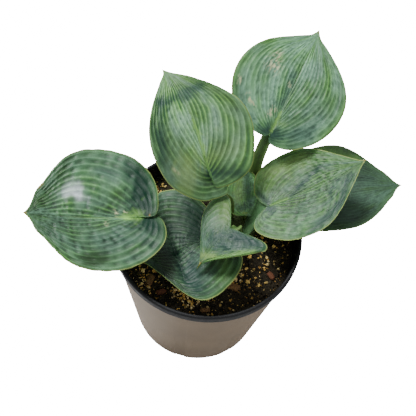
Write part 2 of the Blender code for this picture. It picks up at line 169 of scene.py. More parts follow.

# Marks on the blades: from s, t to s, t, half width in millimetres, kind and strength.  Some kinds are the
# blades' own wear and spots, the others painted highlights, painted light, painted shade and painted shadows.
MARKS = {
    "left": [
        (-0.20, 0.75, -0.60, 0.80, 10.0, "dim", 0.5), (0.70, 0.10, 0.45, 0.30, 8.0, "dim", 0.5),
        (0.97, 0.04, 0.92, 0.30, 12.0, "shadow", 1.0), (-0.62, 0.03, -0.95, 0.17, 12.0, "shadow", 1.0),
        (0.60, 0.04, 0.45, 0.14, 6.0, "shadow", 0.6), (-0.79, 0.48, -0.78, 0.55, 5.0, "rubbed", 0.7),
        (0.84, 0.66, 0.40, 0.86, 8.0, "rubbed", 0.4), (-0.40, 0.88, -0.75, 0.70, 7.0, "rubbed", 0.35),
        (0.30, 0.03, 0.02, 0.12, 3.5, "throat", 0.8), (0.05, 0.10, 0.02, 0.45, 2.6, "lit", 0.9),
        # Painted highlight: two pale grey-white spots where the shine is strongest.
        (0.36, 0.58, 0.32, 0.56, 3.6, "gloss", 0.95), (0.38, 0.64, 0.46, 0.58, 5.5, "gloss", 0.55),
        (0.30, 0.72, 0.60, 0.58, 10.0, "lit", 0.6), (-0.87, 0.50, -0.92, 0.58, 3.6, "rubbed", 0.85),
        (-0.80, 0.54, -0.86, 0.60, 2.6, "rubbed", 0.6), (0.27, 0.27, 0.22, 0.24, 1.5, "scuff", 0.9),
        (0.33, 0.18, 0.33, 0.21, 1.0, "scuff", 0.7), (-0.20, 0.33, -0.26, 0.36, 1.8, "scuff", 0.5),
        (0.82, 0.09, 0.83, 0.09, 0.6, "brown", 0.6), (1.0, 0.83, 1.0, 0.86, 1.2, "brown", 0.8),
    ],
    "back": [
        (-0.35, 0.30, -0.30, 0.60, 11.0, "lit", 0.6), (0.30, 0.25, 0.45, 0.50, 9.0, "lit", 0.4),
        (0.20, 0.80, 0.60, 0.70, 10.0, "dim", 0.4), (-0.90, 0.45, -0.67, 0.70, 5.5, "dusk", 0.7),
        (-0.67, 0.70, 0.60, 0.74, 6.0, "dusk", 0.75),
        (0.65, 0.05, 0.95, 0.26, 6.5, "dusk", 0.75), (-0.99, 0.65, -0.80, 0.52, 5.0, "dusk", 0.6),
        (0.03, 0.02, 0.0, 0.45, 1.4, "throat", 0.9), (-0.82, 0.38, -0.80, 0.35, 0.7, "scuff", 0.8),
        (-0.60, 0.32, -0.88, 0.30, 10.0, "straw", 0.55), (0.40, 0.20, 0.75, 0.35, 7.0, "straw", 0.25),
    ],
    "back_right": [
        (-0.60, 0.70, -0.20, 0.75, 13.0, "lit", 0.5), (0.60, 0.30, 0.80, 0.55, 13.0, "dim", 0.6),
        (0.70, 0.06, 0.80, 0.28, 9.0, "dusk", 0.6), (-0.20, 0.28, -0.10, 0.52, 5.0, "dusk", 0.5),
        (-0.60, 0.05, -0.80, 0.12, 5.5, "dusk", 0.9), (0.30, 0.10, 0.75, 0.10, 6.0, "dusk", 0.6),
        (0.20, 0.12, 0.45, 0.20, 3.5, "throat", 0.35),
        (0.05, 0.02, 0.03, 0.20, 1.3, "throat", 0.8), (-0.56, 0.63, -0.46, 0.55, 4.2, "scuff", 0.8),
        (-0.62, 0.58, -0.50, 0.50, 2.4, "scuff", 0.6), (-0.90, 0.42, -0.91, 0.45, 1.6, "scuff", 0.9),
        (-0.78, 0.36, -0.72, 0.30, 1.5, "scuff", 0.8), (-0.48, 0.22, -0.36, 0.25, 2.2, "scuff", 0.75),
        (-0.90, 0.27, -0.92, 0.24, 1.6, "scuff", 0.7), (-0.10, 0.44, -0.12, 0.46, 1.4, "scuff", 0.7),
    ],
    "right": [
        (-0.80, 0.20, -0.80, 0.45, 6.0, "throat", 0.3), (0.62, 0.74, 0.88, 0.72, 5.5, "dusk", 0.85),
        (0.88, 0.70, 0.97, 0.48, 5.5, "dusk", 0.85), (0.45, 0.80, 0.60, 0.85, 6.0, "dusk", 0.7),
        (-0.92, 0.35, -0.75, 0.55, 7.0, "straw", 0.35),
        (-0.90, 0.17, -0.45, 0.05, 2.8, "shadow", 0.85), (0.30, 0.05, 0.50, 0.13, 4.0, "dusk", 0.85),
        (-0.25, 0.38, -0.42, 0.62, 2.4, "dusk", 0.75), (-0.10, 0.25, -0.20, 0.35, 2.6, "dusk", 0.5),
        (0.0, 0.03, 0.0, 0.20, 1.2, "throat", 0.6),
    ],
    "far_right": [(0.2, 0.25, 0.8, 0.6, 16.0, "dim", 0.3), (-0.97, 0.48, -0.80, 0.66, 4.5, "throat", 0.5)],
    "inner_front": [
        (-0.40, 0.25, -0.92, 0.36, 9.0, "dusk", 0.95), (0.10, 0.30, -0.30, 0.50, 5.0, "dusk", 0.75),
        (0.34, 0.47, -0.10, 0.55, 3.5, "dusk", 0.6), (0.80, 0.30, 0.55, 0.25, 7.0, "straw", 0.3),
        (0.18, 0.80, -0.30, 0.72, 2.8, "straw", 0.6),
        (-0.92, 0.85, -0.94, 0.60, 2.6, "throat", 0.75), (0.0, 0.97, 0.0, 1.0, 1.6, "brown", 0.8),
    ],
    "low_front": [
        (0.35, 0.75, -0.45, 0.75, 20.0, "dim", 0.85), (0.75, 0.30, 0.30, 0.22, 10.0, "shadow", 0.7),
        (0.50, 0.05, 0.90, 0.20, 11.0, "shadow", 0.8),
        (0.42, 0.49, -0.06, 0.43, 3.5, "shadow", 0.85), (-0.06, 0.43, -0.62, 0.56, 3.5, "shadow", 0.85),
        (-0.10, 0.60, -0.55, 0.72, 12.0, "dim", 1.0), (-0.45, 0.42, -0.82, 0.52, 7.0, "dusk", 0.75),
        # The throat green here is painted light on the lit right lobe.
        (-0.85, 0.26, -0.92, 0.44, 6.0, "lit", 0.7), (-0.75, 0.20, -0.90, 0.34, 7.0, "throat", 0.2),
        (0.70, 0.55, 0.75, 0.45, 7.0, "lit", 0.5),
    ],
    "inner_back": [
        (-0.60, 0.70, -0.47, 0.40, 6.0, "straw", 0.65), (0.10, 0.90, 0.25, 0.35, 4.5, "dusk", 0.7),
        (-0.60, 0.22, 0.30, 0.22, 3.2, "dusk", 0.6), (-0.50, 0.08, 0.50, 0.08, 1.5, "straw", 0.8)],
}
BLADE_GRID = (225, 151)        # across, along
BLADE_THICKNESS = 0.5
STALK_STEPS = 30               # points round a stalk


def srgb(red, green, blue):
    """Linear colour from display values of 0 to 255."""
    return tuple((value / 255) ** 2.2 for value in (red, green, blue))


BLOOM = np.array(srgb(97, 137, 111))
LEAF_GREEN = np.array(srgb(76, 118, 62))
FURROW_GREEN_AND_SHADE = np.array(srgb(34, 68, 46))
PALE_EDGE = np.array(srgb(178, 192, 104))
RIB_PALE = np.array(srgb(148, 184, 112))
DRY_TIP = np.array(srgb(170, 138, 80))
STALK_FOOT = np.array(srgb(88, 108, 54))
STALK_GREEN = np.array(srgb(72, 110, 58))
STALK_RIM_HIGHLIGHT = np.array(srgb(158, 184, 116))
CROWN_GREEN = np.array(srgb(66, 80, 42))
DRY_SHEATH = np.array(srgb(92, 88, 48))
# Colours of the marks.  The rubbed, scuff, brown and straw ones are the blades' own wear, spots and tone.
# The pale grey-white one is a painted highlight, the dark blue-green one painted shade and the near-black
# green one a painted shadow; the pale throat green is the colour of a blade's throat and, where it lies on a
# lit lobe, painted light.
MARK_KINDS = {
    "gloss": srgb(190, 200, 204), "rubbed": srgb(28, 52, 24), "scuff": srgb(186, 190, 146),
    "brown": srgb(190, 128, 60), "dusk": srgb(28, 58, 52), "throat": srgb(118, 166, 80),
    "shadow": srgb(16, 50, 38), "straw": srgb(136, 166, 92),
}
# The two marks that only lighten or darken are painted light and painted shade.
MARK_GAINS = {"lit": 1.7, "dim": 0.45}    # marks that only lighten or darken


# ---------------------------------------------------------------- meshes

def lattice_noise(a, b, seed):
    """Smooth noise from 0 to 1: random values at whole numbers of a and b, eased between them."""
    table = np.random.default_rng(seed).random((128, 128))
    row, column = np.floor(a).astype(int), np.floor(b).astype(int)
    x, y = a - row, b - column
    x, y = x * x * (3 - 2 * x), y * y * (3 - 2 * y)

    def at(down, over):
        return table[(row + down) % 128, (column + over) % 128]

    near = at(0, 0) * (1 - y) + at(0, 1) * y
    far = at(1, 0) * (1 - y) + at(1, 1) * y
    return near * (1 - x) + far * x


def layered_noise(a, b, seed, layers=3):
    """Lattice noise summed over finer and fainter layers, from 0 to 1."""
    total, weight = 0.0, 0.0
    for layer in range(layers):
        share = 0.5 ** layer
        total = total + share * lattice_noise(a * 2 ** layer, b * 2 ** layer, seed + layer)
        weight += share
    return total / weight


def mesh_from_arrays(name, points, quads, triangles):
    """A smooth-shaded mesh in metres from points in millimetres, four-sided and three-sided faces."""
    used = np.unique(np.concatenate([quads.ravel(), triangles.ravel()]))
    renumber = np.zeros(len(points), int)
    renumber[used] = np.arange(len(used))
    quads, triangles = renumber[quads], renumber[triangles]
    mesh = bpy.data.meshes.new(name)
    mesh.vertices.add(len(used))
    mesh.vertices.foreach_set("co", (points[used] * MM).astype(np.float32).ravel())
    corners = np.concatenate([quads.ravel(), triangles.ravel()]).astype(np.int32)
    starts = np.concatenate([
        np.arange(len(quads)) * 4, len(quads) * 4 + np.arange(len(triangles)) * 3]).astype(np.int32)
    mesh.loops.add(len(corners))
    mesh.loops.foreach_set("vertex_index", corners)
    mesh.polygons.add(len(starts))
    mesh.polygons.foreach_set("loop_start", starts)
    mesh.update(calc_edges=True)
    mesh.validate()
    mesh.shade_smooth()
    return mesh, used


def paint(mesh, name, colours):
    """Store one linear colour for each vertex."""
    layer = mesh.attributes.new(name, "FLOAT_COLOR", "POINT")
    full = np.ones((len(colours), 4), np.float32)
    full[:, :3] = colours
    layer.data.foreach_set("color", full.ravel())


def piece(name, mesh, materials, slot, *nodes):
    """Show a mesh as one piece that rides on the pot and stands for its nodes in the frame."""
    item = bpy.data.objects.new(name, mesh)
    for finish in materials:
        mesh.materials.append(finish)
    bpy.context.scene.collection.objects.link(item)
    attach(item, BODY)
    if nodes:
        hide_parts(*nodes)
    return item


def grid_faces(rows, columns, wrap):
    """Corner numbers of a grid's four-sided faces, and its first and last rows' faces as triangles.

    The first and the last row are poles: all their points are one, so their faces have three sides.
    """
    number = np.arange(rows * columns).reshape(rows, columns)
    number[0], number[-1] = number[0, 0], number[-1, 0]
    beside = np.roll(number, -1, axis=1) if wrap else number[:, 1:]
    here = number if wrap else number[:, :-1]
    quads = np.stack([here[:-1], beside[:-1], beside[1:], here[1:]], -1)
    first = np.stack([here[0], beside[1], here[1]], -1)
    last = np.stack([here[-2], beside[-2], here[-1]], -1)
    return number, quads[1:-1].reshape(-1, 4), np.concatenate([first, last])


def turned_mesh(name, radius, height):
    """A closed turned shape: radius and height for each row and each step round the Z axis.

    Rows run from the top pole down the outside to the bottom pole.
    """
    rows, steps = radius.shape
    angle = np.arange(steps) * 2 * np.pi / steps
    points = np.stack([radius * np.cos(angle), radius * np.sin(angle), height], -1).reshape(-1, 3)
    _, quads, triangles = grid_faces(rows, steps, True)
    return mesh_from_arrays(name, points, quads[:, ::-1], triangles[:, ::-1])


# ---------------------------------------------------------------- leaves

def bezier(points, t):
    """Cubic Bezier curve through the first and the last of four control points."""
    a, b, c, d = (np.array(point, float) for point in points)
    t = t[..., None]
    return (1 - t) ** 3 * a + 3 * (1 - t) ** 2 * t * b + 3 * (1 - t) * t ** 2 * c + t ** 3 * d


def leaf_outline(t, leaf):
    """Half outline of a blade, from the join round the lobe to the tip: width share and length share."""
    wide, lobe = leaf["wide"], leaf["lobe"]
    lower = [(0, 0), (leaf["lobe_out"], -lobe), (1, wide - leaf["shoulder"]), (1, wide)]
    upper = [(1, wide), (1, wide + leaf["waist"]), (leaf["tip_out"], 1 - leaf["tip_back"]), (0, 1)]
    first = bezier(lower, np.clip(2 * t, 0, 1))
    second = bezier(upper, np.clip(2 * t - 1, 0, 1))
    both = np.where((t < 0.5)[..., None], first, second)
    return both[..., 0], both[..., 1]


def leaf_axes(leaf):
    """Unit vectors of a blade at its join: to its right, along its midrib and out of its upper face."""
    heading, pitch, roll = (math.radians(leaf[key]) for key in ("heading", "pitch", "roll"))
    along = np.array([
        math.cos(heading) * math.cos(pitch), math.sin(heading) * math.cos(pitch), math.sin(pitch)])
    right = np.array([math.sin(heading), -math.cos(heading), 0.0])
    face = np.cross(right, along)
    return (
        math.cos(roll) * right - math.sin(roll) * face, along,
        math.sin(roll) * right + math.cos(roll) * face)


def from_line(points, start, end):
    """Distance of each point from the straight line between two others."""
    line = end - start
    share = np.clip(((points - start) @ line) / max(line @ line, 1e-6), 0, 1)
    return np.linalg.norm(points - start - share[..., None] * line, axis=-1)


def rib_arch(place):
    """Height of the ribs, 0 in each hollow at a whole number and 1 on the sharp crest halfway between."""
    return 1 - np.abs(np.cos(np.pi * place)) ** 1.1


def ribbing(share, t, side, spacing, dress):
    """Relief of a blade: sharp ribs with wide hollows between, puckers across them, a margin that waves.

    Each rib is one less the size of the cosine of its place, raised to 1.1, and its height is a share of the
    gap between two ribs.  The puckers are noise and the margin's wave is a sine along it.
    """
    place = share * dress["veins"]
    arch = rib_arch(place)
    seed = dress["seed"]
    cross = lattice_noise(place * 0.9 + 20 * (side > 0), t * 46, seed) - 0.5
    broad = layered_noise(place * 0.45 + 40 * (side > 0), t * 9, seed + 5) - 0.5
    strength = dress["rib"] * np.clip(1.1 - 0.6 * dress["fade"] * (share * 0.6 + t * 0.6), 0.2, 1)
    relief = spacing * strength * 0.15 * arch
    relief = relief + spacing * dress["pucker"] * 0.22 * cross * (1 - 0.6 * arch) * (0.4 + t)
    relief = relief + 1.6 * broad * np.clip(share * 3, 0, 1) * np.sin(np.pi * t) ** 0.5
    wave = np.sin(2 * np.pi * 3.5 * t + seed + 1.7 * side) * dress["wave"]
    return relief + wave * share ** 5 * np.sin(np.pi * t)


def blade_surface(s, t, leaf, dress=None):
    """Points of a blade's middle surface in millimetres.

    s runs from -1 to 1 across, 0 on the midrib and 1 on the right margin; t runs along each vein, 0 at the
    join and 1 at the tip.  A vein is a blend between the midrib and the outline.  The flat blade is then
    hollowed and creased across its width, ribbed if it is dressed, and bent along its length.
    """
    length, half = leaf["length"], leaf["width"] / 2
    out, up = leaf_outline(t, leaf)
    side, share = np.sign(s), np.abs(s)
    if dress:
        out = out * (1 + dress["blunt"] * np.exp(-((t - 0.91) / 0.06) ** 2))
        out = out - dress["close"] * np.exp(-((t - 0.10) / 0.07) ** 2) * np.clip(t / 0.03, 0, 1)
        out = out - dress.get("trim", 0) * (side > 0) * np.exp(-((t - 0.19) / 0.09) ** 2)
        up = up + dress["point"] / length * np.clip((t - 0.93) / 0.07, 0, 1) ** 2
    up = np.where(up < 0, up * (1 + leaf["skew"] * side), up)
    blend = share ** 1.4
    gather = 1.2 * (1 - t) ** 3
    across = side * share ** (1 + gather) * out * half * (1 + leaf["asym"] * side)
    v = (1 - blend) * t + blend * up
    across = across + length * leaf["lean"] * (np.sqrt(v * v + 0.003) - v) / 2
    u = across / half
    rise = half * (leaf["cup"] * u * u + leaf["fold"] * (np.sqrt(u * u + 0.01) - 0.1))
    if dress:
        spacing = out * half * (1 + gather) * share ** gather / dress["veins"]
        rise = rise + ribbing(share, t, side, spacing, dress)
        groove = np.exp(-(across / 1.3) ** 2) * np.sin(np.pi * t) ** 0.6 * (1 - t)
        rise = rise - 0.9 * min(1, 2 * dress["midrib"]) * groove
        for s0, t0, s1, t1, width, height in dress.get("creases", []):
            here = np.stack([s * half, t * length], -1)
            away = from_line(here, np.array([s0 * half, t0 * length]), np.array([s1 * half, t1 * length]))
            rise = rise + height * np.exp(-away / width)
        rise = rise + side * dress["lap"] * np.exp(-(across / 9) ** 2) * np.clip(-v / 0.12, 0, 1)
    table = np.linspace(-0.7, 1.2, 400)
    angle = leaf["bend"] * table + leaf["nod"] * np.clip((table - 0.4) / 0.6, 0, None) ** 1.5
    step = table[1] - table[0]
    ahead = np.cumsum(np.cos(angle)) * step
    above = np.cumsum(np.sin(angle)) * step
    ahead = ahead - np.interp(0, table, ahead)
    above = above - np.interp(0, table, above)
    turn = np.interp(v, table, angle)
    y = np.interp(v, table, ahead) * length - rise * np.sin(turn)
    z = np.interp(v, table, above) * length + rise * np.cos(turn)
    right, along, face = leaf_axes(leaf)
    return (
        np.array(leaf["base"], float) + across[..., None] * right + y[..., None] * along
        + z[..., None] * face)


def blade_tint(s, t, points, leaf, dress, marks):
    """Colour of a blade: bloom on the ribs, lightened there partly as a painted highlight, furrows greener
    and darker with painted shade, pale midrib, marks, pale margin and dry tip.
    """
    share, side = np.abs(s), np.sign(s)
    seed, contrast = dress["seed"], dress["contrast"]
    place = share * dress["veins"]
    arch = rib_arch(place)
    offset = 40 * (side > 0)
    cloud = layered_noise(place * 0.35 + offset, t * 6 + seed, seed + 31, 4) - 0.5
    streak = lattice_noise(place * 0.9 + offset, t * 13, seed + 37) - 0.5
    fleck = lattice_noise(place * 0.9 + 20 * (side > 0), t * 46, seed) - 0.5
    fine = lattice_noise(place * 3.3 + offset, t * 75, seed + 41) - 0.5
    broad = layered_noise(place * 0.2 + offset, t * 3, seed + 53) - 0.5
    contrast = contrast * np.clip(1.15 - dress["fade"] * (share * 0.6 + t * 0.5) + 1.6 * cloud, 0.1, 1.5)
    green = np.clip(dress["green"] + 1.5 * cloud + 0.8 * streak, 0, 1)
    colour = BLOOM + (LEAF_GREEN - BLOOM) * green[..., None]
    # The hollows between the ribs turn a dark green: greener because they carry less bloom, darker as painted
    # shade.
    furrow_green_and_shade = np.clip((1 - arch) ** 1.3 * (0.34 + 1.3 * streak) * contrast, 0, 0.8)
    colour = colour + (FURROW_GREEN_AND_SHADE - colour) * furrow_green_and_shade[..., None]
    # The crests of the ribs are lightened, partly their bloom and partly a painted highlight, and the hollows
    # darkened as painted shade.
    value = 0.92 + contrast * 0.85 * (arch ** 2.2 - 0.20)
    # Painted light and shade on the puckers: lighter where the same noise raises them, darker where it sinks
    # them.
    pucker_shading = 0.8 * fleck * dress["pucker"] * (0.4 + t) * (1 - arch)
    value = value * (1 + (pucker_shading + dress["mottle"] * fine + 0.5 * streak))
    value = value * (1 + 0.9 * broad)
    colour = colour * (np.clip(value, 0.25, 2.0) * dress["bright"])[..., None]
    colour = colour * np.array([1 + dress.get("warm", 0), 1, 1])
    out, _ = leaf_outline(t, leaf)
    away = share * out * leaf["width"] / 2
    rib = np.exp(-(away / (1.4 - 0.9 * t)) ** 2) * (1 - t) ** 1.8
    colour = colour + (RIB_PALE - colour) * (0.85 * dress["midrib"] * rib)[..., None]
    # Marks: the blades' own spots and wear, and painted highlights, light, shade and shadows.
    for s0, t0, s1, t1, width, kind, strength in marks:
        ends = blade_surface(np.array([s0, s1]), np.array([t0, t1]), leaf, dress)
        away = from_line(points, ends[0], ends[1]) / width
        ragged = away * (1 + 0.9 * fleck + 1.2 * cloud)
        cover = strength * np.exp(-np.clip(ragged, 0, 6) ** 2)
        if kind == "scuff":
            cover = cover * np.clip(0.45 + 4.5 * fine + 2.0 * fleck, 0, 1.3)
        if kind in MARK_GAINS:
            colour = colour * (1 + cover * (MARK_GAINS[kind] - 1))[..., None]
        else:
            colour = colour + (np.array(MARK_KINDS[kind]) - colour) * np.clip(cover, 0, 1)[..., None]
    edge_points = np.where((s > 0)[..., None], points[:, -1:], points[:, :1])
    inside = np.linalg.norm(points - edge_points, axis=-1)
    edge = np.exp(-(inside / 0.7) ** 2)
    edge = edge * np.clip((t - 0.08) / 0.1, 0, 1)
    colour = colour + (PALE_EDGE - colour) * (0.85 * edge)[..., None]
    glow = np.exp(-(inside / 5.0) ** 2) * (share > 0.5)
    colour = colour + (LEAF_GREEN * 1.1 - colour) * (0.25 * glow)[..., None]
    tip = np.clip((t - 0.985) / 0.015, 0, 1) * 0.8
    return colour + (DRY_TIP - colour) * tip[..., None]


def make_blade(name, finish):
    """A blade as a thin closed sheet: its upper face, its lower face and the margin between them."""
    leaf, dress = LEAVES[name], DRESS[name]
    across, along = BLADE_GRID
    s = np.linspace(-1, 1, across)[None, :] * np.ones((along, 1))
    t = (0.5 - 0.5 * np.cos(np.pi * np.linspace(0, 1, along)))[:, None] * 0.55
    t = (t + np.linspace(0, 1, along)[:, None] * 0.45) * np.ones((1, across))
    top = blade_surface(s, t, leaf, dress)
    normal = np.cross(np.gradient(top, axis=1), np.gradient(top, axis=0))
    size = np.linalg.norm(normal, axis=-1, keepdims=True)
    face = leaf_axes(leaf)[2]
    normal = np.where(size > 1e-6, normal / np.maximum(size, 1e-9), face)
    normal[:3] = normal[-3:] = 0
    normal[:3] += face
    normal[-3:] += normal[-4].mean(axis=0)
    body = BLADE_THICKNESS * (1 - 0.6 * np.abs(s) ** 12)
    bottom = top - normal * body[..., None]
    number, quads, triangles = grid_faces(along, across, False)
    under = number + along * across
    quads = np.concatenate([quads, quads[:, ::-1] + along * across])
    triangles = np.concatenate([triangles, triangles[:, ::-1] + along * across])
    right = np.stack([number[:-1, -1], under[:-1, -1], under[1:, -1], number[1:, -1]], -1)
    left = np.stack([number[1:, 0], under[1:, 0], under[:-1, 0], number[:-1, 0]], -1)
    quads = np.concatenate([quads, right, left])
    points = np.concatenate([top.reshape(-1, 3), bottom.reshape(-1, 3)])
    mesh, used = mesh_from_arrays(f"leaf_{name}", points, quads, triangles)
    tint = blade_tint(s, t, top, leaf, dress, MARKS[name]).reshape(-1, 3)
    below = tint * 0.35 + LEAF_GREEN * 0.75
    paint(mesh, "tint", np.concatenate([tint, below])[used])
    return piece(f"leaf_{name}", mesh, [finish], "blade_green", f"blade_{name}")


# ---------------------------------------------------------------- stalks

def smooth_path(points, count):
    """Evenly numbered points on a Catmull-Rom curve through the given points."""
    knots = np.array([points[0], *points, points[-1]], float)
    place = np.linspace(0, len(points) - 1, count)
    span = np.minimum(place.astype(int), len(points) - 2)
    t = (place - span)[:, None]
    a, b, c, d = (knots[span + step] for step in range(4))
    square, cube = 2 * a - 5 * b + 4 * c - d, 3 * b - a - 3 * c + d
    return 0.5 * (2 * b + (c - a) * t + square * t ** 2 + cube * t ** 3)


def swept_mesh(name, path, upward, width, depth, channel):
    """A closed tube carried along a path, with a channel down its upper side.

    The section is an ellipse, width by depth, whose upper side sinks in a bell curve, by one and a half times
    the channel's share of its depth.
    """
    steps = STALK_STEPS
    tangent = np.gradient(path, axis=0)
    tangent /= np.linalg.norm(tangent, axis=1, keepdims=True)
    side = np.cross(tangent, upward)
    side /= np.linalg.norm(side, axis=1, keepdims=True)
    lift = np.cross(side, tangent)
    angle = np.arange(steps) * 2 * np.pi / steps
    sink = channel[:, None] * np.exp(-((angle - np.pi / 2) / 0.62) ** 2)[None, :]
    x = np.cos(angle)[None, :] * width[:, None]
    y = (np.sin(angle)[None, :] - 1.5 * sink) * depth[:, None]
    rings = path[:, None] + x[..., None] * side[:, None] + y[..., None] * lift[:, None]
    ends = [np.repeat(path[end][None, None], steps, axis=1) for end in (0, -1)]
    rings = np.concatenate([ends[0], rings, ends[1]])
    _, quads, triangles = grid_faces(len(rings), steps, True)
    return mesh_from_arrays(name, rings.reshape(-1, 3), quads[:, ::-1], triangles[:, ::-1])


def make_stalk(name, finish):
    """A stalk that broadens into a sheath at the crown and runs on under its blade as the midrib."""
    leaf, stalk = LEAVES[name], STALKS[name]
    foot_radius, top_radius = stalk["radii"]
    right, along, face = leaf_axes(leaf)
    join = np.array(leaf["base"], float) - (top_radius + BLADE_THICKNESS) * face
    behind, aside, below = stalk["approach"]
    before = join - behind * along + aside * right - below * face
    foot = np.array((*stalk["foot"], MIX_TOP + 1.0))
    rib_t = np.linspace(0.06, stalk.get("keel", 0.7), 7)
    rib = blade_surface(np.zeros(7), rib_t, leaf, DRESS[name])
    rib_radius = top_radius * 0.8 * (1 - rib_t) ** 1.3
    rib = rib - (rib_radius + BLADE_THICKNESS * 1.2)[:, None] * face
    route = [foot, *stalk["via"], before, join, *rib]
    lower = len(route) - len(rib)
    path = smooth_path(route, 12 * len(route))
    knots = np.arange(len(route))
    place = np.linspace(0, len(route) - 1, len(path))
    radii = np.concatenate([np.linspace(foot_radius, top_radius, lower), rib_radius])
    radius = np.interp(place, knots, radii)
    sheath = np.exp(-(place / 0.55) ** 2)
    reach = np.clip((lower - 0.3 - place) / 0.8, 0, 1)
    width = radius * (1.12 + stalk.get("sheath", 0.35) * sheath) * (1 + (stalk["broad"] - 1) * reach)
    depth = radius * (0.92 + 0.1 * sheath)
    channel = 0.55 * np.clip((lower - 0.6 - place) / 1.2, 0, 1)
    inward = np.array([*CROWN_MIDDLE, 0.0]) - path
    inward[:, 2] = 0
    inward /= np.maximum(np.linalg.norm(inward, axis=1, keepdims=True), 1)
    blend = np.clip(place / (lower - 1), 0, 1)[:, None]
    upward = inward * (1 - blend) * 0.4 + face * (0.6 + blend)
    mesh, used = swept_mesh(f"petiole_{name}", path, upward, width, depth, channel)
    share = np.concatenate([[0], np.linspace(0, 1, len(path)), [1]])
    rows = np.repeat(share, STALK_STEPS)
    step = np.tile(np.arange(STALK_STEPS), len(share))
    streak = lattice_noise(step * 0.8, rows * 8, 90)
    turned = np.abs(step * 2 * np.pi / STALK_STEPS - np.pi / 2)
    tint = STALK_FOOT + (STALK_GREEN - STALK_FOOT) * np.clip(rows * 3, 0, 1)[:, None]
    # Painted shade down the middle of the channel, and a painted highlight along its two rims.
    tint = tint * (1 - 0.35 * np.exp(-(turned / 0.35) ** 2))[:, None]
    edge = 0.6 * np.exp(-((turned - 1.0) / 0.22) ** 2) * np.clip(rows * 4, 0, 1)
    tint = tint + (STALK_RIM_HIGHLIGHT - tint) * edge[:, None]
    tint = tint + ((BLOOM + LEAF_GREEN) * 0.55 - tint) * 0.7 * stalk.get("pale", 0)
    tint = tint * (0.85 + 0.3 * streak[:, None])
    paint(mesh, "tint", tint[used])
    return piece(f"petiole_{name}", mesh, [finish], "stalk_green", f"stalk_{name}")


# ---------------------------------------------------------------- pot and mix

def wall_radius(height):
    """Outer radius of the pot's tapering wall at a height."""
    top = POT_HEIGHT - LIP_HEIGHT
    return BASE_RADIUS + (RIM_RADIUS - LIP_STAND - BASE_RADIUS) * height / top


def round_profile(points, steps=4):
    """Round each inner corner of a profile by a quadratic Bezier curve with the corner in its middle."""
    points = np.array(points, float)
    path = [points[0]]
    for before, corner, after in zip(points[:-2], points[1:-1], points[2:]):
        reach = min(np.linalg.norm(corner - before), np.linalg.norm(after - corner)) * 0.45
        reach = min(reach, 0.8)
        start = corner + (before - corner) / np.linalg.norm(before - corner) * reach
        end = corner + (after - corner) / np.linalg.norm(after - corner) * reach
        for t in np.linspace(0, 1, steps):
            path.append((1 - t) ** 2 * start + 2 * t * (1 - t) * corner + t ** 2 * end)
    path.append(points[-1])
    return np.array(path)


def make_pot(wall_finish, black_finish):
    """The nursery pot: rolled lip, tapering wall and flat floor, with drain notches cut from its edge."""
    lip = POT_HEIGHT - LIP_HEIGHT
    inside = RIM_RADIUS - LIP_STAND - WALL
    profile = round_profile([
        (0.0, FLOOR), (wall_radius(FLOOR) - WALL, FLOOR), (inside, lip),
        (inside + 0.6, POT_HEIGHT - 1.0), (inside + 1.4, POT_HEIGHT), (RIM_RADIUS - 1.0, POT_HEIGHT),
        (RIM_RADIUS, POT_HEIGHT - 1.0), (RIM_RADIUS, lip + 1.0), (RIM_RADIUS - 0.8, lip),
        (wall_radius(lip), lip - 0.8), (wall_radius(1.0), 1.0), (wall_radius(0.0) - 1.0, 0.0), (0.0, 0.0)])
    steps = 240
    radius = np.repeat(profile[:, :1], steps, axis=1)
    height = np.repeat(profile[:, 1:], steps, axis=1)
    mesh, _ = turned_mesh("nursery_pot", radius, height)
    solid = bpy.data.objects.new("pot_blank", mesh)
    bpy.context.scene.collection.objects.link(solid)
    cutters = []
    for index in range(DRAIN_COUNT):
        turn = math.radians(DRAIN_TURN + index * 360.0 / DRAIN_COUNT)
        block = bmesh.new()
        bmesh.ops.create_cube(block, size=1.0)
        place = (
            Matrix.Rotation(turn, 4, "Z")
            @ Matrix.Translation((BASE_RADIUS * MM, 0.0, DRAIN_SIZE[2] * MM / 2 - MM))
            @ Matrix.Diagonal((*(side * MM for side in DRAIN_SIZE), 1.0)))
        block.transform(place)
        shape = bpy.data.meshes.new("drain")
        block.to_mesh(shape)
        block.free()
        cutter = bpy.data.objects.new("drain", shape)
        bpy.context.scene.collection.objects.link(cutter)
        cutters.append(cutter)
        cut = solid.modifiers.new("drain", "BOOLEAN")
        cut.operation = "DIFFERENCE"
        cut.object = cutter
    graph = bpy.context.evaluated_depsgraph_get()
    done = bpy.data.meshes.new_from_object(solid.evaluated_get(graph))
    for item in (solid, *cutters):
        bpy.data.objects.remove(item, do_unlink=True)
    done.name = "nursery_pot"
    done.materials.clear()
    centres = np.zeros(len(done.polygons) * 3)
    normals = np.zeros(len(done.polygons) * 3)
    done.polygons.foreach_get("center", centres)
    done.polygons.foreach_get("normal", normals)
    centres, normals = centres.reshape(-1, 3) / MM, normals.reshape(-1, 3)
    spread = np.hypot(centres[:, 0], centres[:, 1])
    outward = (centres[:, 0] * normals[:, 0] + centres[:, 1] * normals[:, 1]) / np.maximum(spread, 1)
    is_wall = (outward > 0.5) & (centres[:, 2] < lip - 0.4) & (spread > wall_radius(centres[:, 2]) - 0.5)
    done.polygons.foreach_set("material_index", np.where(is_wall, 0, 1).astype(np.int32))
    done.shade_smooth()
    done.set_sharp_from_angle(angle=math.radians(50))
    return piece("nursery_pot", done, [wall_finish, black_finish], "pot_plastic", "pot")


def mix_height(x, y):
    """Height of the mix: its level, plus layered noise for the lumps and finer noise for the crumbs."""
    lumps = layered_noise(x / 9 + 40, y / 9 + 40, 201, 4) - 0.5
    crumbs = lattice_noise(x / 1.7 + 60, y / 1.7 + 60, 205) - 0.5
    return MIX_TOP - 0.6 + 4.0 * lumps + 1.5 * crumbs


